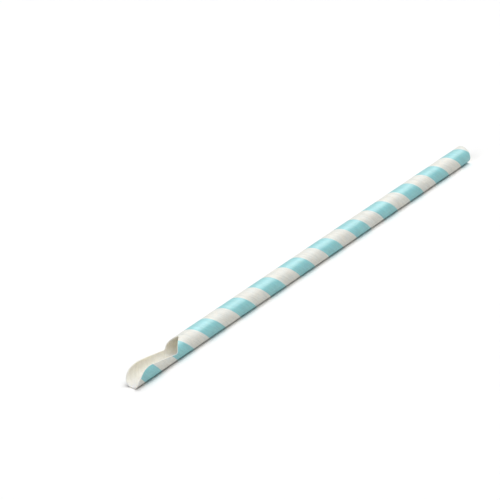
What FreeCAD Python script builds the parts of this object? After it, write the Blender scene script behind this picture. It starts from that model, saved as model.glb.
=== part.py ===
# Paper drinking straw with a scoop end, lying on its side.
#
# One strip-wound paper tube. Its near end is cut into a scoop: a blunt round lip, a bowl whose
# walls curl in over the top, a narrower neck, and a throat that sweeps up to a point on the
# tube's top line. The bowl is pressed a little wider than the tube, and its underside stays in
# line with the tube's underside. The far end is cut square. Along the underside the soft paper
# has a narrow flat, pressed by its own packing, which keeps the straw from rolling.
#
# The straw is built as its outside form first, a filled blank with the scoop punched out of
# it. The blank's round outside is then given the paper's thickness, so that every cut edge
# stands square to the paper, as it does on a tube that is cut while it is pressed flat.
#
# Frame: X along the straw, from the scoop's lip to the square end. Z up, through the open top
# of the scoop. The origin is under the middle of the straw, on the flat that it lies on.

import FreeCAD, Part
import math
import os
import Sketcher
from FreeCAD import Vector

# alias, value in mm, what it is
SIZES = [
    ("straw_length", 200.0, "lip of the scoop to the square end"),
    ("outside_diameter", 8.25, "outside of the round tube"),
    ("flat_depth", 0.08, "how far the underside is pressed flat, out of round"),
    ("wall_thickness", 0.45, "wound paper plies glued into one wall"),
    ("bowl_width", 9.34, "outside width of the bowl where it is pressed open"),
    ("flare_start", 21.6, "lip to where the tube starts to widen"),
    ("flare_end", 6.2, "lip to where the bowl has its full width"),
    ("cut_length", 26.9, "lip to the throat's point on the tube's top line"),
    ("lip_radius", 4.6, "side view radius of the lip"),
    ("crest_distance", 8.0, "lip to the highest part of the bowl's rim"),
    ("bowl_height", 6.77, "underside to the highest part of the bowl's rim"),
    ("neck_height", 4.27, "underside to the lowest part of the neck's rim"),
    ("neck_radius", 1.2, "side view radius of the corner at the neck"),
    ("throat_radius", 6.0, "side view radius of the sweep from the neck up to the point"),
    ("point_radius", 0.35, "top view rounding of the throat's point"),
]

FLARE_SECTIONS = 7  # rings that the widening stretch is lofted through
CUT_MARGIN = 2.0  # how far the uncut blank and the cutting tools reach past the straw


def make_sheet(doc):
    """The driving dimensions, one row each: name, value with its alias, and meaning."""
    sheet = doc.addObject("Spreadsheet::Sheet", "sizes")
    for row, (alias, value, meaning) in enumerate(SIZES, start=1):
        sheet.set(f"A{row}", alias)
        sheet.set(f"B{row}", str(value))
        sheet.setAlias(f"B{row}", alias)
        sheet.set(f"C{row}", meaning)
    doc.recompute()
    return sheet


def add_sketch(body, name, role):
    """An empty sketch on one of the body's own origin planes, such as YZ_Plane."""
    sketch = body.newObject("Sketcher::SketchObject", name)
    plane = next(f for f in body.Origin.OriginFeatures if f.Role == role)
    sketch.AttachmentSupport = [(plane, "")]
    sketch.MapMode = "FlatFace"
    return sketch


def name_size(sketch, constraint, name, expression):
    """Adds a dimension to a sketch and binds it to the sheet."""
    index = sketch.addConstraint(constraint)
    sketch.renameConstraint(index, name)
    sketch.setExpression(f"Constraints.{name}", expression)


def add_ring(body, name, x_words, radius, radius_words, sunk):
    """A circle across the straw at x, which dips under z = 0 by the depth of the flat."""
    sketch = add_sketch(body, name, "YZ_Plane")
    sketch.setExpression("AttachmentOffset.Base.z", x_words)
    circle = Part.Circle(Vector(0, radius, 0), Vector(0, 0, 1), radius)
    ring = sketch.addGeometry(circle, False)
    sketch.addConstraint(Sketcher.Constraint("PointOnObject", ring, 3, -2))
    height = Sketcher.Constraint("DistanceY", -1, 1, ring, 3, radius - sunk)
    name_size(sketch, height, "centre_height", f"{radius_words} - sizes.flat_depth")
    name_size(sketch, Sketcher.Constraint("Radius", ring, radius), "outside", radius_words)
    return sketch


def add_pad(body, name, ring, length_words):
    pad = body.newObject("PartDesign::Pad", name)
    pad.Profile = ring
    pad.setExpression("Length", length_words)
    return pad


def add_tube(body, sheet):
    """The round stretch, from where the bowl starts to widen to past the square end."""
    ring = add_ring(
        body, "tube_ring", "sizes.flare_start - sizes.straw_length / 2",
        sheet.outside_diameter / 2, "sizes.outside_diameter / 2", sheet.flat_depth,
    )
    length_words = f"sizes.straw_length - sizes.flare_start + {CUT_MARGIN}"
    return add_pad(body, "tube", ring, length_words)


def add_flare(body, sheet):
    """The widening stretch: a loft through rings that all reach down to the same level.

    Between flare_start and flare_end the radius grows along a smooth step, 3k^2 - 2k^3, where
    k goes from 0 to 1, so it leaves the tube and meets the bowl without a kink.
    """
    growth = sheet.bowl_width - sheet.outside_diameter
    rings = []
    for number in range(FLARE_SECTIONS):
        share = number / (FLARE_SECTIONS - 1)
        step = share * share * (3 - 2 * share)
        x_words = (
            f"sizes.flare_start + ({share}) * (sizes.flare_end - sizes.flare_start)"
            " - sizes.straw_length / 2"
        )
        radius_words = (
            f"(sizes.outside_diameter + ({step})"
            " * (sizes.bowl_width - sizes.outside_diameter)) / 2"
        )
        radius = (sheet.outside_diameter + step * growth) / 2
        name = f"flare_ring_{number}"
        rings.append(add_ring(body, name, x_words, radius, radius_words, sheet.flat_depth))
    loft = body.newObject("PartDesign::AdditiveLoft", "flare")
    loft.Profile = rings[0]
    loft.Sections = rings[1:]
    return loft


def add_bowl(body, sheet):
    """The bowl's full width, from past the lip, where the punch trims it, to flare_end."""
    ring = add_ring(
        body, "bowl_ring", f"-{CUT_MARGIN} - sizes.straw_length / 2",
        sheet.bowl_width / 2, "sizes.bowl_width / 2", sheet.flat_depth,
    )
    return add_pad(body, "bowl", ring, f"sizes.flare_end + {CUT_MARGIN}")


def on_circle(centre, radius, towards):
    """The point of a circle that lies towards another point."""
    return centre + (towards - centre).normalize() * radius


def angle_at(centre, point):
    return math.atan2(point.y - centre.y, point.x - centre.x)


def add_punch(body, sheet):
    """The scoop's side view, punched through both walls of the blank.

    The rim is a lip arc that starts upright on the underside, a crest arc over the bowl, a
    straight fall to the neck, a small corner arc, and a throat arc that sweeps up to a point
    on the tube's top line. All of them meet without a kink. The throat arc meets the top line
    at a slight slope, which is what rounds the point.
    """
    sketch = add_sketch(body, "scoop_outline", "XZ_Plane")
    tip = -sheet.straw_length / 2
    top = sheet.outside_diameter - sheet.flat_depth
    lip_r, neck_r, throat_r = sheet.lip_radius, sheet.neck_radius, sheet.throat_radius
    across, rise = sheet.crest_distance, sheet.bowl_height
    crest_r = (across**2 + rise**2 - 2 * across * lip_r) / (2 * (rise - lip_r))
    slope = math.asin(2 * sheet.point_radius / sheet.outside_diameter)

    lip = Vector(tip + lip_r, 0, 0)
    crest = Vector(tip + across, rise - crest_r, 0)
    point = Vector(tip + sheet.cut_length, top, 0)
    throat = point + Vector(math.sin(slope), -math.cos(slope), 0) * throat_r
    neck_y = sheet.neck_height + neck_r
    reach = math.sqrt((throat_r + neck_r) ** 2 - (throat.y - neck_y) ** 2)
    neck = Vector(throat.x - reach, neck_y, 0)

    to_neck = neck - crest
    fall = angle_at(crest, neck) - math.asin((crest_r + neck_r) / to_neck.Length)
    outward = Vector(-math.sin(fall), math.cos(fall), 0)
    crest_end = crest + outward * crest_r
    corner_start = neck - outward * neck_r
    corner_end = on_circle(neck, neck_r, throat)
    crest_start = on_circle(crest, crest_r, lip)
    lip_start = Vector(tip, 0, 0)

    axis = Vector(0, 0, 1)

    def arc(centre, radius, start, end):
        circle = Part.Circle(centre, axis, radius)
        bow = Part.ArcOfCircle(circle, angle_at(centre, start), angle_at(centre, end))
        return sketch.addGeometry(bow, False)

    def line(start, end):
        return sketch.addGeometry(Part.LineSegment(start, end), False)

    low, high = -CUT_MARGIN, top + sheet.bowl_width
    left = tip - 2 * CUT_MARGIN
    lip_arc = arc(lip, lip_r, crest_start, lip_start)
    crest_arc = arc(crest, crest_r, crest_end, crest_start)
    fall_line = line(crest_end, corner_start)
    corner = arc(neck, neck_r, corner_start, corner_end)
    sweep = arc(throat, throat_r, point, corner_end)
    rise_line = line(point, Vector(point.x, high, 0))
    top_line = line(Vector(point.x, high, 0), Vector(left, high, 0))
    back_line = line(Vector(left, high, 0), Vector(left, low, 0))
    foot_line = line(Vector(left, low, 0), Vector(tip, low, 0))
    drop_line = line(Vector(tip, low, 0), lip_start)

    def join(kind, first, first_end, second, second_end):
        sketch.addConstraint(Sketcher.Constraint(kind, first, first_end, second, second_end))

    start, end, middle = 1, 2, 3
    join("Tangent", lip_arc, end, drop_line, end)
    join("Tangent", lip_arc, start, crest_arc, end)
    join("Tangent", crest_arc, start, fall_line, start)
    join("Tangent", fall_line, end, corner, start)
    join("Tangent", corner, end, sweep, end)
    join("Coincident", sweep, start, rise_line, start)
    join("Coincident", rise_line, end, top_line, start)
    join("Coincident", top_line, end, back_line, start)
    join("Coincident", back_line, end, foot_line, start)
    join("Coincident", foot_line, end, drop_line, start)
    for upright in (rise_line, back_line, drop_line):
        sketch.addConstraint(Sketcher.Constraint("Vertical", upright))
    for level in (top_line, foot_line):
        sketch.addConstraint(Sketcher.Constraint("Horizontal", level))
    sketch.addConstraint(Sketcher.Constraint("PointOnObject", lip_arc, middle, -1))

    def size(kind, references, value, name, words):
        name_size(sketch, Sketcher.Constraint(kind, *references, value), name, words)

    half = "sizes.straw_length / 2"
    crest_words = (
        "(sizes.crest_distance * sizes.crest_distance + sizes.bowl_height * sizes.bowl_height"
        " - 2 * sizes.crest_distance * sizes.lip_radius)"
        " / (2 * (sizes.bowl_height - sizes.lip_radius))"
    )
    size("Radius", (lip_arc,), lip_r, "lip_radius", "sizes.lip_radius")
    size("Radius", (corner,), neck_r, "neck_radius", "sizes.neck_radius")
    size("Radius", (sweep,), throat_r, "throat_radius", "sizes.throat_radius")
    size("DistanceX", (drop_line, end, -1, 1), -tip, "lip_from_middle", half)
    size("DistanceX", (crest_arc, middle, -1, 1), -crest.x, "crest_from_middle",
         f"{half} - sizes.crest_distance")
    size("Radius", (crest_arc,), crest_r, "crest_radius", crest_words)
    size("DistanceY", (-1, 1, corner, middle), neck.y, "neck_centre_height",
         "sizes.neck_height + sizes.neck_radius")
    size("DistanceX", (sweep, start, -1, 1), -point.x, "point_from_middle",
         f"{half} - sizes.cut_length")
    size("DistanceY", (-1, 1, sweep, start), point.y, "point_height",
         "sizes.outside_diameter - sizes.flat_depth")
    size("DistanceX", (sweep, start, sweep, middle), throat.x - point.x, "point_rounding",
         "2 * sizes.throat_radius * sizes.point_radius / sizes.outside_diameter")
    size("DistanceY", (-1, 1, top_line, end), high, "punch_top",
         "sizes.outside_diameter - sizes.flat_depth + sizes.bowl_width")
    size("DistanceY", (foot_line, start, -1, 1), -low, "punch_bottom", f"{CUT_MARGIN}")
    size("DistanceX", (back_line, start, drop_line, end), tip - left, "punch_back",
         f"2 * {CUT_MARGIN}")

    pocket = body.newObject("PartDesign::Pocket", "scoop")
    pocket.Profile = sketch
    pocket.SideType = "Symmetric"
    pocket.setExpression("Length", f"sizes.bowl_width + 2 * {CUT_MARGIN}")
    return pocket


def is_round_outside(face):
    """True for the blank's round faces, which run along X, and false for its cut faces."""
    surface = face.Surface
    if isinstance(surface, Part.Cylinder):
        return abs(surface.Axis.x) > abs(surface.Axis.y)
    return isinstance(surface, Part.BSplineSurface)


def add_wall(doc, blank):
    """The paper: the blank's round outside, thickened inwards and closed along its edges."""
    skin = doc.addObject("Part::Feature", "skin")
    skin.Shape = Part.Shell([face for face in blank.Shape.Faces if is_round_outside(face)])
    wall = doc.addObject("Part::Offset", "wall")
    wall.Source = skin
    wall.Fill = True
    wall.Join = "Intersection"
    wall.setExpression("Value", "-sizes.wall_thickness")
    return wall


def cut_away(doc, name, base, block_name, corner, reach):
    """Cuts a block off base. The block's lowest corner and its sides are given in words."""
    block = doc.addObject("Part::Box", block_name)
    for axis, words in zip("xyz", corner):
        block.setExpression(f"Placement.Base.{axis}", words)
    for side, words in zip(("Length", "Width", "Height"), reach):
        block.setExpression(side, words)
    cut = doc.addObject("Part::Cut", name)
    cut.Base = base
    cut.Tool = block
    cut.Label = name
    return cut


def finish_wall(doc, wall):
    """Levels the underside at z = 0 and trims the far end to the straw's length."""
    across = f"-sizes.bowl_width / 2 - {CUT_MARGIN}"
    width = f"sizes.bowl_width + 2 * {CUT_MARGIN}"
    flattened = cut_away(
        doc, "flattened", wall, "ground_block",
        (f"-sizes.straw_length / 2 - {CUT_MARGIN}", across, f"-{CUT_MARGIN}"),
        (f"sizes.straw_length + 3 * {CUT_MARGIN}", width, f"{CUT_MARGIN}"),
    )
    straw = cut_away(
        doc, "straw", flattened, "end_block",
        ("sizes.straw_length / 2", across, f"-{CUT_MARGIN}"),
        (f"2 * {CUT_MARGIN}", width, f"sizes.outside_diameter + 2 * {CUT_MARGIN}"),
    )
    doc.recompute()
    return straw


def check(doc, straw):
    """Stops if a feature failed, or if the straw isn't one valid closed solid."""
    failed = [o.Name for o in doc.Objects if {"Invalid", "Error"} & set(o.State)]
    if failed:
        raise RuntimeError(f"these objects failed: {failed}")
    shape = straw.Shape
    if shape.isNull() or not shape.isValid() or len(shape.Solids) != 1:
        raise RuntimeError(f"{straw.Label} isn't one valid solid")
    if shape.Volume < 0:
        raise RuntimeError(f"{straw.Label} is inside out")


def main():
    doc = FreeCAD.newDocument("paper_straw")
    sheet = make_sheet(doc)
    blank = doc.addObject("PartDesign::Body", "blank")
    add_tube(blank, sheet)
    doc.recompute()
    add_flare(blank, sheet)
    doc.recompute()
    add_bowl(blank, sheet)
    doc.recompute()
    uncut = blank.Shape.Volume
    blank.Tip = add_punch(blank, sheet)
    doc.recompute()
    if blank.Shape.Volume > uncut - 1:
        raise RuntimeError("the punch cut nothing")
    straw = finish_wall(doc, add_wall(doc, blank))
    check(doc, straw)
    os.makedirs("parts", exist_ok=True)
    straw.Shape.exportStep("parts/straw.step")
    solid = straw.Shape.Solids[0]
    box = solid.BoundBox
    print(
        f"straw: {solid.Volume:.1f} mm3, x {box.XMin:.3f} to {box.XMax:.3f},"
        f" y {box.YMin:.3f} to {box.YMax:.3f}, z {box.ZMin:.3f} to {box.ZMax:.3f},"
        f" centre of mass {tuple(round(c, 3) for c in solid.CenterOfMass)}"
    )


main()
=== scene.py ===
"""Paper drinking straw with a scoop end: its looks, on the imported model's frame.

The straw is one strip-wound paper tube. Its shell is worked out here as a surface: the
outside, the inside and the cut edge between them. The printed band is laid on by the
shell's own wrap map, which says how far round and how far along the tube each point is.
"""

import math

import bmesh
import bpy
import numpy as np

from mathutils import Matrix, Vector
from bpy.props import FloatProperty, FloatVectorProperty, IntProperty, PointerProperty


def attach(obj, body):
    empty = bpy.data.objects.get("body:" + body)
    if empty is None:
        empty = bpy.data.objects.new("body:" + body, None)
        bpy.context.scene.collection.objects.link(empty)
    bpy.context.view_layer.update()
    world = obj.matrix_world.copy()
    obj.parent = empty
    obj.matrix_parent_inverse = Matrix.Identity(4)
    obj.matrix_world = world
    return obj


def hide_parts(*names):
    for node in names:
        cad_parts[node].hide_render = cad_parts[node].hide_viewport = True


bl_info = {
    "name": "Scoop Straw Maker",
    "version": (1, 0, 0),
    "blender": (4, 5, 0),
    "location": "3D View > Sidebar > Straw",
    "description": "A paper drinking straw with a scoop end, on a plain pale floor",
    "category": "Add Mesh",
}

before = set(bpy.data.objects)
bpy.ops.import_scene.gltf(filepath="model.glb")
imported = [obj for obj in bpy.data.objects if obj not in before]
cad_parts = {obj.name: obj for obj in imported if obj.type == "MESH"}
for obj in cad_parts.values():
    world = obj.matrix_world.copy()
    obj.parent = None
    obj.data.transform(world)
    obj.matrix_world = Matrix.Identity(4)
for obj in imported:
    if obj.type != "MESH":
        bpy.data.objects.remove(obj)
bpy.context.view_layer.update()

STRAW_NODE = "straw"
STRAW_BODY = "root"

MM = 0.001
FULL_TURN = 2 * math.pi

# Which of the shell's papers a face has.
PRINTED, LINER, CUT = range(3)

# How the skin's grid is laid out: the stretch of the lip that the first row follows, the
# stretch over which its curve dies away, and the rows along the cut and along the tube.
LIP_FRONT = 0.0008
LIP_FADE = 0.0040
RIM_ROWS = 200
TUBE_ROWS = 60

# How finely the rim's line is worked out, in points on each arc and on the whole line, and
# how the cut edge is rounded: points across it, and a power that is lower for a squarer edge.
ARC_POINTS = 400
RIM_POINTS = 1600
EDGE_POINTS = 9
EDGE_POWER = 0.6
JOIN_DISTANCE = 3e-7

# The camera's place and axes, in metres and in the straw's own frame. It looks at the straw
# from the near side, with the scoop end to its left, and leans with the straw's roll.
CAMERA_PLACE = (-0.368797, -0.480871, 0.292661)
CAMERA_RIGHT = (0.7116755, -0.6518127, -0.2620270)
CAMERA_UP = (0.4658252, 0.1586529, 0.8705378)
LENS = 115.62
SENSOR = 36.0
CAMERA_SHIFT = (-0.001, 0.001)  # half a pixel right and down in a frame of 500
CLIP_START = 0.01
CLIP_END = 50.0

# The floor's white, from its lowest to its highest, and the fineness of its mottle.
FLOOR_WHITES = (0.985, 1.0)
FLOOR_SCALE = 2.0

# The paper's grain, on the strip in millimetres: how much each kind of mark is drawn out
# along the strip, how fine it is, and the slice of the noise that it reads.
FIBRE_STRETCH = 0.35
FIBRE_SCALE = 4.0
FIBRE_SLICE = 0.0
STREAK_STRETCH = 0.13
STREAK_SCALE = 1.5
STREAK_SLICE = 7.0
CLOUD_SCALE = 0.45
CLOUD_SLICE = 3.0

# The print's edge, as shares of the band's pitch, and the fineness of its wandering.
PRINT_SOFTNESS = 0.006
PRINT_WANDER = 0.006
WANDER_SCALE = 1.2

# The joint lines of the outer strip and of the liner: width as a share of the pitch, depth
# in metres, how much they darken, and the liner's place.
SEAM_WIDTH = 0.0035
SEAM_DEPTH = 0.00004
SEAM_SHADE = 0.07
BUTT_WIDTH = 0.010
BUTT_DEPTH = 0.00003
BUTT_SHADE = 0.05
BUTT_PLACE = 0.19

# The outside paper: heights of its tooth in metres, the noise levels between which a fibre
# fades in, the colour where ink is thin or a fibre is grey, and how much clouds and streaks
# lighten, darken and warm it.
PRINTED_FINE = 0.00002
PRINTED_COARSE = 0.00012
INK_FIBRES = (0.38, 0.66)
WHITE_FIBRES = (0.35, 0.62)
THIN_INK_SHARE = 0.93
THIN_INK_WHITE = 0.055
GREY_FIBRE_SHARE = 0.93
PRINTED_CLOUDS = 0.06
PRINTED_STREAKS = 0.38
PRINTED_WARMTH = 0.12
PRINTED_ROUGHNESS = 0.50
PRINTED_TOOTH = 0.14
INK_SMOOTHNESS = 0.22
PRINTED_SHINE = 1.0

# The liner, in the same order.
LINER_FINE = 0.00003
LINER_COARSE = 0.00015
LINER_FIBRES = (0.36, 0.64)
LINER_FIBRE_SHARES = (0.955, 0.945, 0.925)
LINER_CLOUDS = 0.07
LINER_STREAKS = 0.16
LINER_ROUGHNESS = 0.52
LINER_TOOTH = 0.18
LINER_SHINE = 0.35

# The cut edge, whose grain and patches are on the straw itself, in metres.
CUT_GRAIN_SCALE = 9000.0
CUT_PATCH_SCALE = 700.0
CUT_FINE = 0.00002
CUT_FIBRES = (0.35, 0.60)
CUT_FIBRE_SHARES = (0.96, 0.95, 0.92)
CUT_PATCHES = 0.06
CUT_ROUGHNESS = 0.70
CUT_TOOTH = 0.15
CUT_SHINE = 0.25

# How far red, green and blue light soak into the paper, beside each other, and how much of
# the light does so in the liner and in the cut edge.
SOAK_COLOURS = (1.0, 0.94, 0.78)
LINER_SOAK = 1.0
CUT_SOAK = 0.15


# Settings a user may change


class StrawSizes(bpy.types.PropertyGroup):
    """The straw's own sizes."""

    length: FloatProperty(
        name="Length", description="Lip of the scoop to the square end",
        default=0.200, unit="LENGTH", precision=4,
    )
    diameter: FloatProperty(
        name="Diameter", description="Outside of the round tube",
        default=0.00825, unit="LENGTH", precision=5,
    )
    flat_depth: FloatProperty(
        name="Flat depth", description="How far the underside is pressed flat, out of round",
        default=0.00008, unit="LENGTH", precision=5,
    )
    wall: FloatProperty(
        name="Wall", description="Thickness of the wound paper",
        default=0.00045, unit="LENGTH", precision=5,
    )
    bowl_width: FloatProperty(
        name="Bowl width", description="Outside width of the bowl where it is pressed open",
        default=0.00934, unit="LENGTH", precision=5,
    )
    flare_start: FloatProperty(
        name="Flare start", description="Lip to where the tube starts to widen",
        default=0.0216, unit="LENGTH", precision=4,
    )
    flare_end: FloatProperty(
        name="Flare end", description="Lip to where the bowl has its full width",
        default=0.0062, unit="LENGTH", precision=4,
    )
    cut_length: FloatProperty(
        name="Cut length", description="Lip to the throat's point on the tube's top line",
        default=0.0269, unit="LENGTH", precision=4,
    )
    lip_radius: FloatProperty(
        name="Lip radius", description="Side view radius of the lip",
        default=0.0046, unit="LENGTH", precision=5,
    )
    crest_distance: FloatProperty(
        name="Crest distance", description="Lip to the highest part of the bowl's rim",
        default=0.0080, unit="LENGTH", precision=5,
    )
    bowl_height: FloatProperty(
        name="Bowl height", description="Underside to the highest part of the bowl's rim",
        default=0.00677, unit="LENGTH", precision=5,
    )
    neck_height: FloatProperty(
        name="Neck height", description="Underside to the lowest part of the neck's rim",
        default=0.00427, unit="LENGTH", precision=5,
    )
    neck_radius: FloatProperty(
        name="Neck radius", description="Side view radius of the corner at the neck",
        default=0.0012, unit="LENGTH", precision=5,
    )
    throat_radius: FloatProperty(
        name="Throat radius", description="Side view radius of the sweep up to the point",
        default=0.0060, unit="LENGTH", precision=5,
    )
    point_radius: FloatProperty(
        name="Point radius", description="Top view rounding of the throat's point",
        default=0.00035, unit="LENGTH", precision=5,
    )
    edge_bulge: FloatProperty(
        name="Edge bulge", description="How far the cut edge rounds out past its corners",
        default=0.00006, unit="LENGTH", precision=5,
    )
    columns: IntProperty(
        name="Columns", description="Columns of faces round the tube", default=144, min=24,
    )


class BandLook(bpy.types.PropertyGroup):
    """The printed band and the papers."""

    band_pitch: FloatProperty(
        name="Band pitch", description="How far the band moves along in one turn",
        default=0.01726828, unit="LENGTH", precision=5,
    )
    band_share: FloatProperty(
        name="Band share", description="Share of the pitch that is printed",
        default=0.516, subtype="FACTOR",
    )
    band_start: FloatProperty(
        name="Band start", description="Where one edge of the band crosses the underside",
        default=-0.0591805, unit="LENGTH", precision=5,
    )
    seam_place: FloatProperty(
        name="Seam place", description="Where the outer strip's seam lies in the pitch",
        default=0.76, subtype="FACTOR",
    )
    band_blue: FloatVectorProperty(
        name="Band blue", description="Printed band", size=3, subtype="COLOR",
        default=(0.218, 0.575, 0.605),
    )
    paper_white: FloatVectorProperty(
        name="Paper white", description="Bare paper outside", size=3, subtype="COLOR",
        default=(0.760, 0.760, 0.703),
    )
    liner_cream: FloatVectorProperty(
        name="Liner cream", description="Paper inside the tube", size=3, subtype="COLOR",
        default=(0.930, 0.885, 0.775),
    )
    glow_depth: FloatProperty(
        name="Glow depth", description="How deep light soaks into the paper from outside",
        default=0.0015, unit="LENGTH", precision=5,
    )
    edge_cream: FloatVectorProperty(
        name="Edge cream", description="Cut edge of the paper", size=3, subtype="COLOR",
        default=(0.950, 0.930, 0.870),
    )


class StageLook(bpy.types.PropertyGroup):
    """Floor and light."""

    floor_size: FloatProperty(
        name="Floor size", description="Side of the square floor",
        default=24.0, unit="LENGTH",
    )
    floor_bounce: FloatVectorProperty(
        name="Floor bounce", description="Colour the floor throws back on the straw",
        size=3, subtype="COLOR", default=(0.80, 0.79, 0.77),
    )
    lamp_spread: FloatProperty(
        name="Lamp spread", description="Angle that each soft lamp fills", default=0.9,
        subtype="ANGLE",
    )
    near_lamp: FloatProperty(
        name="Near lamp", description="Strength of the soft lamp over the near side",
        default=1.75, min=0.0,
    )
    near_lamp_from: FloatVectorProperty(
        name="Near lamp from", description="Direction the near lamp's light comes from",
        size=3, subtype="DIRECTION", default=(0.42, -0.33, 0.85),
    )
    far_lamp: FloatProperty(
        name="Far lamp", description="Strength of the soft lamp over the far side",
        default=1.1, min=0.0,
    )
    far_lamp_from: FloatVectorProperty(
        name="Far lamp from", description="Direction the far lamp's light comes from",
        size=3, subtype="DIRECTION", default=(0.40, 0.22, 0.89),
    )
    end_lamp: FloatProperty(
        name="End lamp", description="Strength of the soft lamp that faces the scoop's lip",
        default=0.9, min=0.0,
    )
    end_lamp_from: FloatVectorProperty(
        name="End lamp from", description="Direction the end lamp's light comes from",
        size=3, subtype="DIRECTION", default=(-0.85, -0.15, 0.50),
    )
    world_strength: FloatProperty(
        name="World strength", description="Strength of the even light from all round",
        default=0.10, min=0.0,
    )


# Shapes


def arc_points(centre, radius, start, end, count):
    """Points of a circle, centre + radius * (cos a, sin a), with a even from start to end."""
    turn = np.linspace(start, end, count)
    return np.stack([centre[0] + radius * np.cos(turn), centre[1] + radius * np.sin(turn)], -1)


def rim_side_view(sizes, count):
    """The scoop's rim seen from the side, as points (x, z) from the lip to the throat's point.

    A lip arc that starts upright on the underside, a crest arc over the bowl, a straight fall
    to the neck, a small corner arc and a throat arc up to the point. Each meets the next
    without a kink: two circles that touch have their centres on one line with the touching
    point, and a line touches both circles square to their radii.
    """
    tip = -sizes.length / 2
    lip_r, neck_r, throat_r = sizes.lip_radius, sizes.neck_radius, sizes.throat_radius
    across, rise = sizes.crest_distance, sizes.bowl_height
    crest_r = (across**2 + rise**2 - 2 * across * lip_r) / (2 * (rise - lip_r))
    slope = math.asin(2 * sizes.point_radius / sizes.diameter)

    lip = np.array([tip + lip_r, 0.0])
    crest = np.array([tip + across, rise - crest_r])
    point = np.array([tip + sizes.cut_length, sizes.diameter - sizes.flat_depth])
    throat = point + throat_r * np.array([math.sin(slope), -math.cos(slope)])
    neck_z = sizes.neck_height + neck_r
    reach = math.sqrt((throat_r + neck_r) ** 2 - (throat[1] - neck_z) ** 2)
    neck = np.array([throat[0] - reach, neck_z])

    def heading(start, end):
        return math.atan2(end[1] - start[1], end[0] - start[0])

    apart = np.hypot(*(neck - crest))
    fall = heading(crest, neck) - math.asin((crest_r + neck_r) / apart)
    outward = fall + math.pi / 2
    touch = heading(crest, lip)
    meet = heading(neck, throat)
    parts = [
        arc_points(lip, lip_r, math.pi, touch + FULL_TURN * (touch < 0), count),
        arc_points(crest, crest_r, touch + FULL_TURN * (touch < 0), outward, count),
        arc_points(neck, neck_r, outward - math.pi, meet, count),
        arc_points(throat, throat_r, meet + math.pi, heading(throat, point), count),
    ]
    return np.concatenate([parts[0], parts[1][1:], parts[2], parts[3][1:]])


def outside_radius(sizes, x):
    """Outside radius at x: the tube's, growing to the bowl's by a smooth step, 3k^2 - 2k^3."""
    from_lip = x + sizes.length / 2
    k = np.clip((sizes.flare_start - from_lip) / (sizes.flare_start - sizes.flare_end), 0, 1)
    grown = (sizes.bowl_width - sizes.diameter) * k * k * (3 - 2 * k)
    return (sizes.diameter + grown) / 2


def spread_evenly(points, count):
    """The same line with count points at even steps of its own length."""
    step = np.hypot(*np.diff(points, axis=0).T)
    along = np.concatenate([[0], np.cumsum(step)])
    even = np.linspace(0, along[-1], count)
    return np.stack([np.interp(even, along, points[:, i]) for i in range(points.shape[1])], -1)


def square_to(line):
    """Unit vectors a quarter turn clockwise from a line's direction at each of its points."""
    ahead = np.gradient(line, axis=0)
    ahead /= np.hypot(*ahead.T)[:, None]
    return np.stack([ahead[:, 1], -ahead[:, 0]], -1)


def rim_on_skin(sizes, count):
    """One side of the rim laid on the tube's skin, as points (x, angle from the underside).

    A rim point at height z lies on the circle there, of radius r and lowest point -f, at the
    angle acos(1 - (z + f) / r). The rim is moved back from the cut by the edge's bulge,
    square to itself on the unrolled skin, so that the rounded edge ends where the cut is.
    """
    side = rim_side_view(sizes, ARC_POINTS)
    radius = outside_radius(sizes, side[:, 0])
    angle = np.arccos(np.clip(1 - (side[:, 1] + sizes.flat_depth) / radius, -1, 1))
    angle = np.concatenate([[0.0], angle])
    side = np.concatenate([side[:1], side])
    radius = np.concatenate([radius[:1], radius])
    unrolled = spread_evenly(np.stack([side[:, 0], angle * radius], -1), count)
    back = square_to(unrolled)
    back[0] = back[-1] = (1.0, 0.0)
    moved = unrolled + sizes.edge_bulge * back
    angle = moved[:, 1] / outside_radius(sizes, moved[:, 0])
    angle[0], angle[-1] = 0.0, math.pi
    return np.stack([moved[:, 0], np.clip(angle, 0, math.pi)], -1)


def place_on_tube(sizes, x, angle, depth):
    """The point at x, at an angle from the underside, at a depth under the outside.

    With r the radius at x and f the depth of the flat, y = (r - depth) * sin(angle) and
    z = r - f - (r - depth) * cos(angle), but never under the ground, z = 0.
    """
    radius = outside_radius(sizes, x)
    y = (radius - depth) * np.sin(angle)
    z = np.maximum(radius - sizes.flat_depth - (radius - depth) * np.cos(angle), 0.0)
    return np.stack(np.broadcast_arrays(x, y, z), -1)


def grid_faces(rows, columns):
    """Corner numbers of each square of a grid of points, row by row."""
    first = np.arange(rows - 1)[:, None] * columns + np.arange(columns - 1)[None, :]
    return np.stack([first, first + 1, first + columns + 1, first + columns], -1).reshape(-1, 4)


def wrap_of(x, angle):
    """Wrap map: turns round the tube, counted from the underside, and metres along it."""
    return np.stack(np.broadcast_arrays(angle / FULL_TURN, x), -1)


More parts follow.
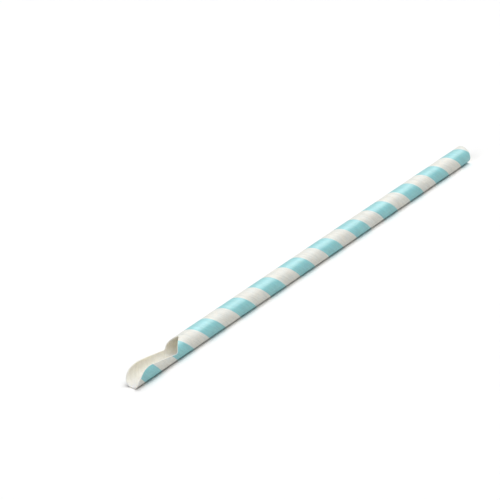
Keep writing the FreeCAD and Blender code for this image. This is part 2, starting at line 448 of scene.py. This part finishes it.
def skin_grid(sizes):
    """The skin as rows of (x, angle), from the lip to the square end.

    The first row follows the lip's front, where the rim's angle runs from -a0 to a0. Each
    further row runs across the tube from rim to rim, or right round it past the throat's
    point: angle = share * rim angle, with share from -1 to 1. The lip's curve dies away
    over the next rows, as x = row x + lip curve * (1 - t)^2.
    """
    fine = rim_on_skin(sizes, RIM_POINTS)
    front = np.searchsorted(fine[:, 0], fine[0, 0] + LIP_FRONT)
    side = fine[front:].copy()
    radius = outside_radius(sizes, side[:, 0])
    side = spread_evenly(np.stack([side[:, 0], side[:, 1] * radius], -1), RIM_ROWS)
    side[:, 1] /= outside_radius(sizes, side[:, 0])
    side[-1, 1] = math.pi
    share = np.linspace(-1, 1, sizes.columns + 1)
    lip_x = np.interp(np.abs(share) * side[0, 1], fine[: front + 1, 1], fine[: front + 1, 0])
    lip_curve = lip_x - lip_x[-1]

    end = sizes.length / 2 - sizes.edge_bulge
    tube_x = np.linspace(side[-1, 0], end, TUBE_ROWS + 1)[1:]
    x = np.concatenate([side[:, 0], tube_x])
    reach = np.concatenate([side[:, 1], np.full(len(tube_x), math.pi)])
    fade = np.clip(1 - (x - x[0]) / LIP_FADE, 0, 1) ** 2
    stations = x[:, None] + lip_curve[None, :] * fade[:, None]
    return stations, reach[:, None] * share[None, :]


def straw_surfaces(sizes):
    """All of the shell's grids, as (points, wrap map, paper, turned over).

    Outside and inside are the skin's grid at no depth and at the wall's depth. The cut edge
    is carried along the skin's border. With a from 0 to pi, its points lie at the depth
    wall * (1 - cos a) / 2, and past the border by bulge * sin(a) ^ 0.6, which is a nearly
    square edge with rounded corners.
    """
    stations, angle = skin_grid(sizes)
    surfaces = []
    for depth, paper, turned in ((0.0, PRINTED, False), (sizes.wall, LINER, True)):
        points = place_on_tube(sizes, stations, angle, depth)
        surfaces.append((points, wrap_of(stations, angle), paper, turned))

    across = np.linspace(0, math.pi, EDGE_POINTS)
    depth = sizes.wall * (1 - np.cos(across)) / 2
    bulge = sizes.edge_bulge * np.sin(across) ** EDGE_POWER

    last = RIM_ROWS - 1
    rim_x = np.concatenate([stations[last:0:-1, 0], stations[0], stations[1 : last + 1, -1]])
    rim_angle = np.concatenate([angle[last:0:-1, 0], angle[0], angle[1 : last + 1, -1]])
    radius = outside_radius(sizes, rim_x)
    out = -square_to(np.stack([rim_x, rim_angle * radius], -1))
    out[0] = out[-1] = (-1.0, 0.0)
    edge_x = rim_x[:, None] + out[:, :1] * bulge
    edge_angle = rim_angle[:, None] + out[:, 1:] * bulge / radius[:, None]
    points = place_on_tube(sizes, edge_x, edge_angle, depth[None, :])
    surfaces.append((points, wrap_of(edge_x, edge_angle), CUT, False))

    end_x = stations[-1][None, :] + bulge[:, None]
    end_angle = np.broadcast_to(angle[-1], end_x.shape)
    points = place_on_tube(sizes, end_x, end_angle, depth[:, None])
    surfaces.append((points, wrap_of(end_x, end_angle), CUT, False))
    return surfaces


def build_shell(name, surfaces):
    """One mesh from the grids, with each face's paper and the wrap map of its corners."""
    points, faces, wraps, papers = [], [], [], []
    start = 0
    for grid, wrap, paper, turned in surfaces:
        rows, columns = grid.shape[:2]
        squares = grid_faces(rows, columns)
        if turned:
            squares = squares[:, ::-1]
        points.append(grid.reshape(-1, 3))
        wraps.append(wrap.reshape(-1, 2)[squares].reshape(-1, 2))
        faces.append(squares + start)
        papers.append(np.full(len(squares), paper))
        start += rows * columns
    points = np.concatenate(points)
    faces = np.concatenate(faces)
    wraps = np.concatenate(wraps)
    papers = np.concatenate(papers)

    mesh = bpy.data.meshes.new(name)
    mesh.from_pydata(points.tolist(), [], faces.tolist())
    mesh.polygons.foreach_set("material_index", papers.astype(np.int32))
    mesh.polygons.foreach_set("use_smooth", np.ones(len(faces), bool))
    layer = mesh.uv_layers.new(name="wrap")
    layer.uv.foreach_set("vector", wraps.astype(np.float32).ravel())
    mesh.update()
    return mesh


def join_seams(mesh):
    """Merges points that lie on each other, turns all faces outwards, counts open edges."""
    work = bmesh.new()
    work.from_mesh(mesh)
    bmesh.ops.remove_doubles(work, verts=work.verts, dist=JOIN_DISTANCE)
    bmesh.ops.recalc_face_normals(work, faces=work.faces)
    work.to_mesh(mesh)
    open_edges = sum(1 for edge in work.edges if len(edge.link_faces) != 2)
    work.free()
    return open_edges


# Materials


class Nodes:
    """A short way to write a material's nodes."""

    def __init__(self, name):
        self.material = bpy.data.materials.new(name)
        self.material.use_nodes = True
        self.tree = self.material.node_tree
        self.shader = self.tree.nodes["Principled BSDF"]

    def add(self, kind, inputs=(), **settings):
        node = self.tree.nodes.new(kind)
        for key, value in settings.items():
            setattr(node, key, value)
        for socket, value in dict(inputs).items():
            if isinstance(value, bpy.types.NodeSocket):
                self.tree.links.new(value, node.inputs[socket])
            else:
                node.inputs[socket].default_value = value
        return node

    def math(self, operation, first, second=0.0, third=0.0):
        node = self.add("ShaderNodeMath", {0: first, 1: second, 2: third}, operation=operation)
        return node.outputs[0]

    def blend(self, amount, first, second, kind="MIX"):
        node = self.add("ShaderNodeMix", data_type="RGBA", blend_type=kind)
        for socket, value in ((0, amount), (6, first), (7, second)):
            if isinstance(value, bpy.types.NodeSocket):
                self.tree.links.new(value, node.inputs[socket])
            elif socket == 0:
                node.inputs[socket].default_value = value
            else:
                node.inputs[socket].default_value = (*value, 1.0)
        return node.outputs[2]

    def ramp(self, value, low, high):
        """0 below low, 1 above high, and a smooth rise between them."""
        node = self.add(
            "ShaderNodeMapRange", {0: value, 1: low, 2: high}, interpolation_type="SMOOTHSTEP",
        )
        return node.outputs[0]

    def line(self, value, place, width):
        """1 within a fifth of the width from place, falling to 0 at the width."""
        away = self.math("ABSOLUTE", self.math("SUBTRACT", value, place))
        return self.math("SUBTRACT", 1.0, self.ramp(away, 0.2 * width, width))

    def wrap(self):
        """Turns round the tube and metres along it, from the wrap map."""
        uv = self.add("ShaderNodeUVMap", uv_map="wrap")
        parts = self.add("ShaderNodeSeparateXYZ", {0: uv.outputs[0]})
        return parts.outputs[0], parts.outputs[1]

    def point(self, x, y, z):
        return self.add("ShaderNodeCombineXYZ", {0: x, 1: y, 2: z}).outputs[0]

    def noise(self, where, scale, detail=2.0, roughness=0.5):
        inputs = {"Vector": where, "Scale": scale, "Detail": detail, "Roughness": roughness}
        return self.add("ShaderNodeTexNoise", inputs).outputs["Fac"]

    def bump(self, height, distance, strength=1.0, under=None):
        inputs = {"Height": height, "Distance": distance, "Strength": strength}
        if under is not None:
            inputs["Normal"] = under
        return self.add("ShaderNodeBump", inputs).outputs[0]

    def drive(self, socket, output):
        self.tree.links.new(output, self.shader.inputs[socket])

    def swing(self, value, size):
        """A factor round 1 that rises by size as value goes from 0 to 1."""
        return self.math("MULTIPLY_ADD", value, size, 1 - size / 2)

    def product(self, first, *others):
        for other in others:
            first = self.math("MULTIPLY", first, other)
        return first

    def tinted(self, colour, red, green, blue):
        """The colour with each of its channels multiplied by a factor."""
        tint = self.add("ShaderNodeCombineColor", {0: red, 1: green, 2: blue}).outputs[0]
        return self.blend(1.0, colour, tint, "MULTIPLY")

    def let_light_through(self, weight, depth):
        """Light soaks through the thin paper and comes out a little warmer."""
        self.shader.inputs["Subsurface Weight"].default_value = weight
        self.shader.inputs["Subsurface Radius"].default_value = SOAK_COLOURS
        self.shader.inputs["Subsurface Scale"].default_value = depth


def strip_place(nodes, look, diameter):
    """Where a point lies on the wound strip, in millimetres: along the strip, across it.

    The strip climbs one band pitch a turn, so with s the way round and x the way along, the
    strip runs in the direction (circumference, pitch) of the unrolled skin.
    """
    turn, along = nodes.wrap()
    girth = math.pi * diameter
    length = math.hypot(girth, look.band_pitch)
    cosine, sine = girth / length, look.band_pitch / length
    way_round = nodes.math("MULTIPLY", turn, girth / MM)
    way_along = nodes.math("MULTIPLY", along, 1 / MM)
    down_strip = nodes.math(
        "MULTIPLY_ADD", way_round, cosine, nodes.math("MULTIPLY", way_along, sine)
    )
    over_strip = nodes.math(
        "MULTIPLY_ADD", way_along, cosine, nodes.math("MULTIPLY", way_round, -sine)
    )
    return turn, along, down_strip, over_strip


def screw_phase(nodes, look, turn, along, start):
    """Band pitches from the screw line that crosses the underside at start.

    With x the way along and t the turns round, this is (x - start) / pitch - t.
    """
    pitches = nodes.math("MULTIPLY_ADD", along, 1 / look.band_pitch, -start / look.band_pitch)
    return nodes.math("SUBTRACT", pitches, turn)


def paper_grain(nodes, down_strip, over_strip, fine, coarse):
    """Paper's tooth as a bump, with the parts that also tint it: fibres, streaks, clouds.

    All are noise on the unrolled strip. Fibres are short, streaks are long thin lines that
    run down the strip, and clouds are a broad unevenness. Fine and coarse are heights in
    metres.
    """
    drawn_out = nodes.math("MULTIPLY", down_strip, FIBRE_STRETCH)
    fibres = nodes.noise(
        nodes.point(drawn_out, over_strip, FIBRE_SLICE), FIBRE_SCALE, detail=4.0, roughness=0.65
    )
    drawn_out = nodes.math("MULTIPLY", down_strip, STREAK_STRETCH)
    streaks = nodes.noise(
        nodes.point(drawn_out, over_strip, STREAK_SLICE), STREAK_SCALE, roughness=0.6
    )
    clouds = nodes.noise(nodes.point(down_strip, over_strip, CLOUD_SLICE), CLOUD_SCALE)
    uneven = nodes.bump(clouds, coarse)
    ridged = nodes.bump(streaks, 2 * fine, under=uneven)
    return nodes.bump(fibres, fine, under=ridged), fibres, streaks, clouds


def printed_paper(sizes, look):
    """Outside paper: white, with one printed band wound as a right-handed screw.

    A point is printed where the fraction of its screw phase is under the band's share.
    """
    nodes = Nodes("printed_paper")
    turn, along, down_strip, over_strip = strip_place(nodes, look, sizes.diameter)
    normal, fibres, streaks, clouds = paper_grain(
        nodes, down_strip, over_strip, PRINTED_FINE, PRINTED_COARSE
    )
    phase = screw_phase(nodes, look, turn, along, look.band_start)
    seam = nodes.line(nodes.math("FRACT", phase), look.seam_place, SEAM_WIDTH)
    normal = nodes.bump(nodes.math("MULTIPLY", seam, -1.0), SEAM_DEPTH, under=normal)

    wander = nodes.noise(nodes.point(down_strip, over_strip, FIBRE_SLICE), WANDER_SCALE)
    ragged = nodes.math("MULTIPLY", nodes.math("SUBTRACT", wander, 0.5), PRINT_WANDER)
    phase = nodes.math("FRACT", nodes.math("ADD", phase, ragged))
    opening = nodes.ramp(phase, 0.0, PRINT_SOFTNESS)
    closing = nodes.ramp(phase, look.band_share - PRINT_SOFTNESS, look.band_share)
    printed = nodes.math("MULTIPLY", opening, nodes.math("SUBTRACT", 1.0, closing))

    ink = tuple(look.band_blue)
    thin_ink = tuple(channel * THIN_INK_SHARE + THIN_INK_WHITE for channel in ink)
    paper = tuple(look.paper_white)
    grey_paper = tuple(channel * GREY_FIBRE_SHARE for channel in paper)
    blue = nodes.blend(nodes.ramp(fibres, *INK_FIBRES), ink, thin_ink)
    white = nodes.blend(nodes.ramp(fibres, *WHITE_FIBRES), grey_paper, paper)
    colour = nodes.blend(printed, white, blue)
    shade = nodes.product(
        nodes.swing(clouds, PRINTED_CLOUDS),
        nodes.swing(streaks, PRINTED_STREAKS),
        nodes.math("MULTIPLY_ADD", seam, -SEAM_SHADE, 1.0),
    )
    warmth = nodes.math("MULTIPLY_ADD", clouds, PRINTED_WARMTH, -PRINTED_WARMTH / 2)
    warmer = nodes.math("ADD", shade, warmth)
    cooler = nodes.math("SUBTRACT", shade, warmth)
    nodes.drive("Base Color", nodes.tinted(colour, warmer, shade, cooler))
    rough = nodes.math("MULTIPLY_ADD", fibres, PRINTED_TOOTH, PRINTED_ROUGHNESS)
    nodes.drive("Roughness", nodes.math("MULTIPLY_ADD", printed, -INK_SMOOTHNESS, rough))
    nodes.drive("Normal", normal)
    nodes.shader.inputs["Specular IOR Level"].default_value = PRINTED_SHINE
    return nodes.material


def liner_paper(sizes, look):
    """Inside paper: uncoated cream, with the butt line of its own strip and a dull tooth."""
    nodes = Nodes("liner_paper")
    turn, along, down_strip, over_strip = strip_place(nodes, look, sizes.diameter)
    normal, fibres, streaks, clouds = paper_grain(
        nodes, down_strip, over_strip, LINER_FINE, LINER_COARSE
    )
    phase = nodes.math("FRACT", screw_phase(nodes, look, turn, along, 0.0))
    butt = nodes.line(phase, BUTT_PLACE, BUTT_WIDTH)
    normal = nodes.bump(nodes.math("MULTIPLY", butt, -1.0), BUTT_DEPTH, under=normal)

    cream = tuple(look.liner_cream)
    deep = tuple(np.multiply(cream, LINER_FIBRE_SHARES))
    colour = nodes.blend(nodes.ramp(fibres, *LINER_FIBRES), deep, cream)
    shade = nodes.product(
        nodes.swing(clouds, LINER_CLOUDS),
        nodes.swing(streaks, LINER_STREAKS),
        nodes.math("MULTIPLY_ADD", butt, -BUTT_SHADE, 1.0),
    )
    nodes.drive("Base Color", nodes.tinted(colour, shade, shade, shade))
    nodes.drive("Roughness", nodes.math("MULTIPLY_ADD", fibres, LINER_TOOTH, LINER_ROUGHNESS))
    nodes.drive("Normal", normal)
    nodes.shader.inputs["Specular IOR Level"].default_value = LINER_SHINE
    nodes.let_light_through(LINER_SOAK, look.glow_depth)
    return nodes.material


def cut_paper(look):
    """Cut edge: the ends of the plies, cream, with a fine torn grain and broad patches."""
    nodes = Nodes("cut_paper")
    where = nodes.add("ShaderNodeTexCoord").outputs["Object"]
    tooth = nodes.noise(where, CUT_GRAIN_SCALE, detail=3.0, roughness=0.6)
    patches = nodes.noise(where, CUT_PATCH_SCALE)
    cream = tuple(look.edge_cream)
    dull = tuple(np.multiply(cream, CUT_FIBRE_SHARES))
    colour = nodes.blend(nodes.ramp(tooth, *CUT_FIBRES), dull, cream)
    shade = nodes.swing(patches, CUT_PATCHES)
    nodes.drive("Base Color", nodes.tinted(colour, shade, shade, shade))
    nodes.drive("Roughness", nodes.math("MULTIPLY_ADD", tooth, CUT_TOOTH, CUT_ROUGHNESS))
    nodes.drive("Normal", nodes.bump(tooth, CUT_FINE))
    nodes.shader.inputs["Specular IOR Level"].default_value = CUT_SHINE
    nodes.let_light_through(CUT_SOAK, look.glow_depth)
    return nodes.material


def seen_or_reflected(tree):
    """1 for what the eye sees straight, in a gloss or through glass, and 0 for lighting."""
    path = tree.nodes.new("ShaderNodeLightPath")
    seen = path.outputs["Is Camera Ray"]
    for name in ("Is Glossy Ray", "Is Transmission Ray"):
        larger = tree.nodes.new("ShaderNodeMath")
        larger.operation = "MAXIMUM"
        tree.links.new(seen, larger.inputs[0])
        tree.links.new(path.outputs[name], larger.inputs[1])
        seen = larger.outputs[0]
    return seen


def floor_paint(stage):
    """Plain matt floor: white to the eye, and a little darker to the light it throws back."""
    nodes = Nodes("pale_floor")
    seen = seen_or_reflected(nodes.tree)
    where = nodes.add("ShaderNodeTexCoord").outputs["Object"]
    mottle = nodes.noise(where, FLOOR_SCALE)
    low, high = ((level, level, level) for level in FLOOR_WHITES)
    white = nodes.blend(mottle, low, high)
    nodes.drive("Base Color", nodes.blend(seen, tuple(stage.floor_bounce), white))
    nodes.shader.inputs["Roughness"].default_value = 1.0
    nodes.shader.inputs["Specular IOR Level"].default_value = 0.0
    return nodes.material


# Operators


class STRAW_OT_shell(bpy.types.Operator):
    """Builds the paper shell of the straw and its three papers"""

    bl_idname = "straw.shell"
    bl_label = "Paper shell"

    def execute(self, context):
        sizes, look = context.scene.straw_sizes, context.scene.straw_look
        mesh = build_shell("straw_paper", straw_surfaces(sizes))
        open_edges = join_seams(mesh)
        if open_edges:
            raise RuntimeError(f"the paper shell has {open_edges} open edges")
        for material in (
            printed_paper(sizes, look), liner_paper(sizes, look), cut_paper(look)
        ):
            mesh.materials.append(material)
        straw = bpy.data.objects.new("straw_paper", mesh)
        context.scene.collection.objects.link(straw)
        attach(straw, STRAW_BODY)
        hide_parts(STRAW_NODE)
        return {"FINISHED"}


class STRAW_OT_stage(bpy.types.Operator):
    """Lays the floor and sets the lights and the camera"""

    bl_idname = "straw.stage"
    bl_label = "Floor, light and camera"

    def execute(self, context):
        stage = context.scene.straw_stage
        self.lay_floor(context, stage)
        self.set_lights(context, stage)
        self.set_camera(context)
        return {"FINISHED"}

    def lay_floor(self, context, stage):
        half = stage.floor_size / 2
        corners = [(-half, -half, 0), (half, -half, 0), (half, half, 0), (-half, half, 0)]
        mesh = bpy.data.meshes.new("pale_floor")
        mesh.from_pydata(corners, [], [(0, 1, 2, 3)])
        mesh.materials.append(floor_paint(stage))
        floor = bpy.data.objects.new("pale_floor", mesh)
        context.scene.collection.objects.link(floor)

    def set_lights(self, context, stage):
        world = bpy.data.worlds.new("soft_room")
        world.use_nodes = True
        background = world.node_tree.nodes["Background"]
        background.inputs["Color"].default_value = (1.0, 1.0, 1.0, 1.0)
        tree = world.node_tree
        glow = tree.nodes.new("ShaderNodeMapRange")
        glow.inputs["To Min"].default_value = stage.world_strength
        glow.inputs["To Max"].default_value = 1.0
        tree.links.new(seen_or_reflected(tree), glow.inputs["Value"])
        tree.links.new(glow.outputs[0], background.inputs["Strength"])
        context.scene.world = world
        for name, strength, comes_from in (
            ("near_lamp", stage.near_lamp, stage.near_lamp_from),
            ("far_lamp", stage.far_lamp, stage.far_lamp_from),
            ("end_lamp", stage.end_lamp, stage.end_lamp_from),
        ):
            lamp = bpy.data.lights.new(name, "SUN")
            lamp.energy = strength
            lamp.angle = stage.lamp_spread
            lantern = bpy.data.objects.new(name, lamp)
            lantern.rotation_euler = Vector(comes_from).to_track_quat("Z", "Y").to_euler()
            context.scene.collection.objects.link(lantern)

    def set_camera(self, context):
        right, up = Vector(CAMERA_RIGHT).normalized(), Vector(CAMERA_UP).normalized()
        back = right.cross(up).normalized()
        up = back.cross(right).normalized()
        turn = Matrix((right, up, back)).transposed().to_4x4()
        lens = bpy.data.cameras.new("photo_view")
        lens.lens = LENS
        lens.sensor_width = SENSOR
        lens.shift_x, lens.shift_y = CAMERA_SHIFT
        lens.clip_start = CLIP_START
        lens.clip_end = CLIP_END
        camera = bpy.data.objects.new("photo_view", lens)
        camera.matrix_world = Matrix.Translation(Vector(CAMERA_PLACE)) @ turn
        context.scene.collection.objects.link(camera)
        context.scene.camera = camera


class STRAW_PT_panel(bpy.types.Panel):
    """Lists the straw's pieces and their settings"""

    bl_idname = "STRAW_PT_panel"
    bl_label = "Scoop straw"
    bl_space_type = "VIEW_3D"
    bl_region_type = "UI"
    bl_category = "Straw"

    def draw(self, context):
        layout = self.layout
        scene = context.scene
        for group in (scene.straw_sizes, scene.straw_look, scene.straw_stage):
            box = layout.box()
            for name in group.bl_rna.properties.keys():
                if name not in ("rna_type", "name"):
                    box.prop(group, name)
        layout.operator(STRAW_OT_shell.bl_idname)
        layout.operator(STRAW_OT_stage.bl_idname)


CLASSES = (StrawSizes, BandLook, StageLook, STRAW_OT_shell, STRAW_OT_stage, STRAW_PT_panel)


def register():
    for each in CLASSES:
        bpy.utils.register_class(each)
    bpy.types.Scene.straw_sizes = PointerProperty(type=StrawSizes)
    bpy.types.Scene.straw_look = PointerProperty(type=BandLook)
    bpy.types.Scene.straw_stage = PointerProperty(type=StageLook)


def unregister():
    del bpy.types.Scene.straw_stage
    del bpy.types.Scene.straw_look
    del bpy.types.Scene.straw_sizes
    for each in reversed(CLASSES):
        bpy.utils.unregister_class(each)


def main():
    register()
    scene = bpy.context.scene
    scene.view_settings.view_transform = "Standard"
    bpy.ops.straw.shell()
    bpy.ops.straw.stage()
    bpy.context.view_layer.update()


if __name__ == "__main__":
    main()
